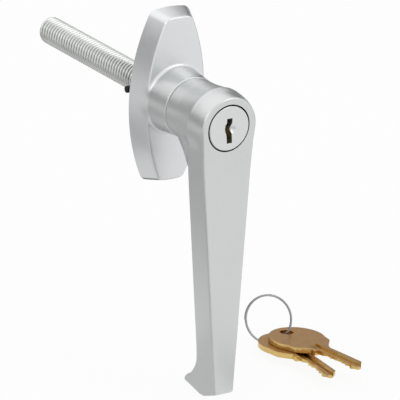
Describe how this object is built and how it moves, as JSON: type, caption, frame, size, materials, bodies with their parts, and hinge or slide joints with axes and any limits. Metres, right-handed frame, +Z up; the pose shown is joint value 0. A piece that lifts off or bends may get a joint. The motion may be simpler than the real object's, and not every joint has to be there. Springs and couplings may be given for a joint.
{
  "type": "keyed lever handle",
  "caption": "Locking lever handle on a bowed escutcheon plate, wafer lock in its head, long threaded spindle behind, brass keys on a split ring.",
  "frame": {"origin": "on the spindle's axis, in the plane of the panel the plate sits on", "axes": "+X right seen from the front, +Y through the panel along the spindle, +Z up; the lever hangs along -Z at rest"},
  "size_m": [0.0718, 0.1242, 0.1258],
  "materials": {
    "satin_chrome": "satin chrome plate on a zinc casting",
    "plug_chrome": "satin chrome plate",
    "zinc_steel": "clear zinc plate",
    "steel": "bare steel",
    "black_steel": "black oxide",
    "ring_steel": "bright nickel plate",
    "zinc_cast": "as cast",
    "black_rubber": "matte",
    "key_brass": "satin",
    "wafer_brass": "satin"
  },
  "bodies": {
    "base": {"base_plate": "satin_chrome"},
    "handle": {"lever": "satin_chrome", "spindle": "zinc_steel", "spindle_pin": "steel", "cross_pin": "black_steel", "retaining_washer": "zinc_steel", "wave_washer": "steel", "thrust_collar": "zinc_steel", "seal_ring": "black_rubber", "lock_shell": "zinc_cast", "shell_pin": "steel"},
    "plug": {"lock_plug": "plug_chrome", "plug_clip": "steel", "drive_cam": "zinc_cast", "wafer_spring_1": "steel", "wafer_spring_2": "steel", "wafer_spring_3": "steel", "wafer_spring_4": "steel", "wafer_spring_5": "steel"},
    "bolt": {"lock_bolt": "steel"},
    "wafer_1": {"wafer_1": "wafer_brass"},
    "wafer_2": {"wafer_2": "wafer_brass"},
    "wafer_3": {"wafer_3": "wafer_brass"},
    "wafer_4": {"wafer_4": "wafer_brass"},
    "wafer_5": {"wafer_5": "wafer_brass"},
    "ring": {"key_ring": "ring_steel"},
    "upper_key": {"key_1": "key_brass"},
    "lower_key": {"key_2": "key_brass"}
  },
  "joints": [
    {"name": "handle_turn", "type": "hinge", "parent": "base", "child": "handle", "pos_m": [0, 0, 0], "axis": [0, 1, 0], "range_deg": [0, 90]},
    {"name": "plug_turn", "type": "hinge", "parent": "handle", "child": "plug", "pos_m": [0, 0, 0], "axis": [0, 1, 0], "range_deg": [0, 90]},
    {"name": "bolt_slide", "type": "slide", "parent": "handle", "child": "bolt", "axis": [-1, 0, 0], "range_m": [0, 0.00312]},
    {"name": "wafer_1_slide", "type": "slide", "parent": "plug", "child": "wafer_1", "axis": [0, 0, 1], "range_m": [0, 0.001], "deforming": ["wafer_spring_1"]},
    {"name": "wafer_2_slide", "type": "slide", "parent": "plug", "child": "wafer_2", "axis": [0, 0, 1], "range_m": [0, 0.001], "deforming": ["wafer_spring_2"]},
    {"name": "wafer_3_slide", "type": "slide", "parent": "plug", "child": "wafer_3", "axis": [0, 0, 1], "range_m": [0, 0.001], "deforming": ["wafer_spring_3"]},
    {"name": "wafer_4_slide", "type": "slide", "parent": "plug", "child": "wafer_4", "axis": [0, 0, 1], "range_m": [0, 0.001], "deforming": ["wafer_spring_4"]},
    {"name": "wafer_5_slide", "type": "slide", "parent": "plug", "child": "wafer_5", "axis": [0, 0, 1], "range_m": [0, 0.001], "deforming": ["wafer_spring_5"]},
    {"name": "keys_lift", "type": "slide", "parent": "base", "child": "ring", "axis": [0.0341, 0.0485, 0.9982], "range_m": [0, 0.05]},
    {"name": "key_1_swing", "type": "hinge", "parent": "ring", "child": "upper_key", "pos_m": [0.0473, -0.0139, -0.0911], "axis": [0.0341, 0.0485, 0.9982], "range_deg": [-8, 12]},
    {"name": "key_2_swing", "type": "hinge", "parent": "ring", "child": "lower_key", "pos_m": [0.04528, -0.0125, -0.09306], "axis": [0.0341, 0.0485, 0.9982], "range_deg": [-12, 8]}
  ],
  "couplings": [
    {"joint": "bolt_slide", "follows": "plug_turn", "m_per_rad": 0.0019807}
  ]
}
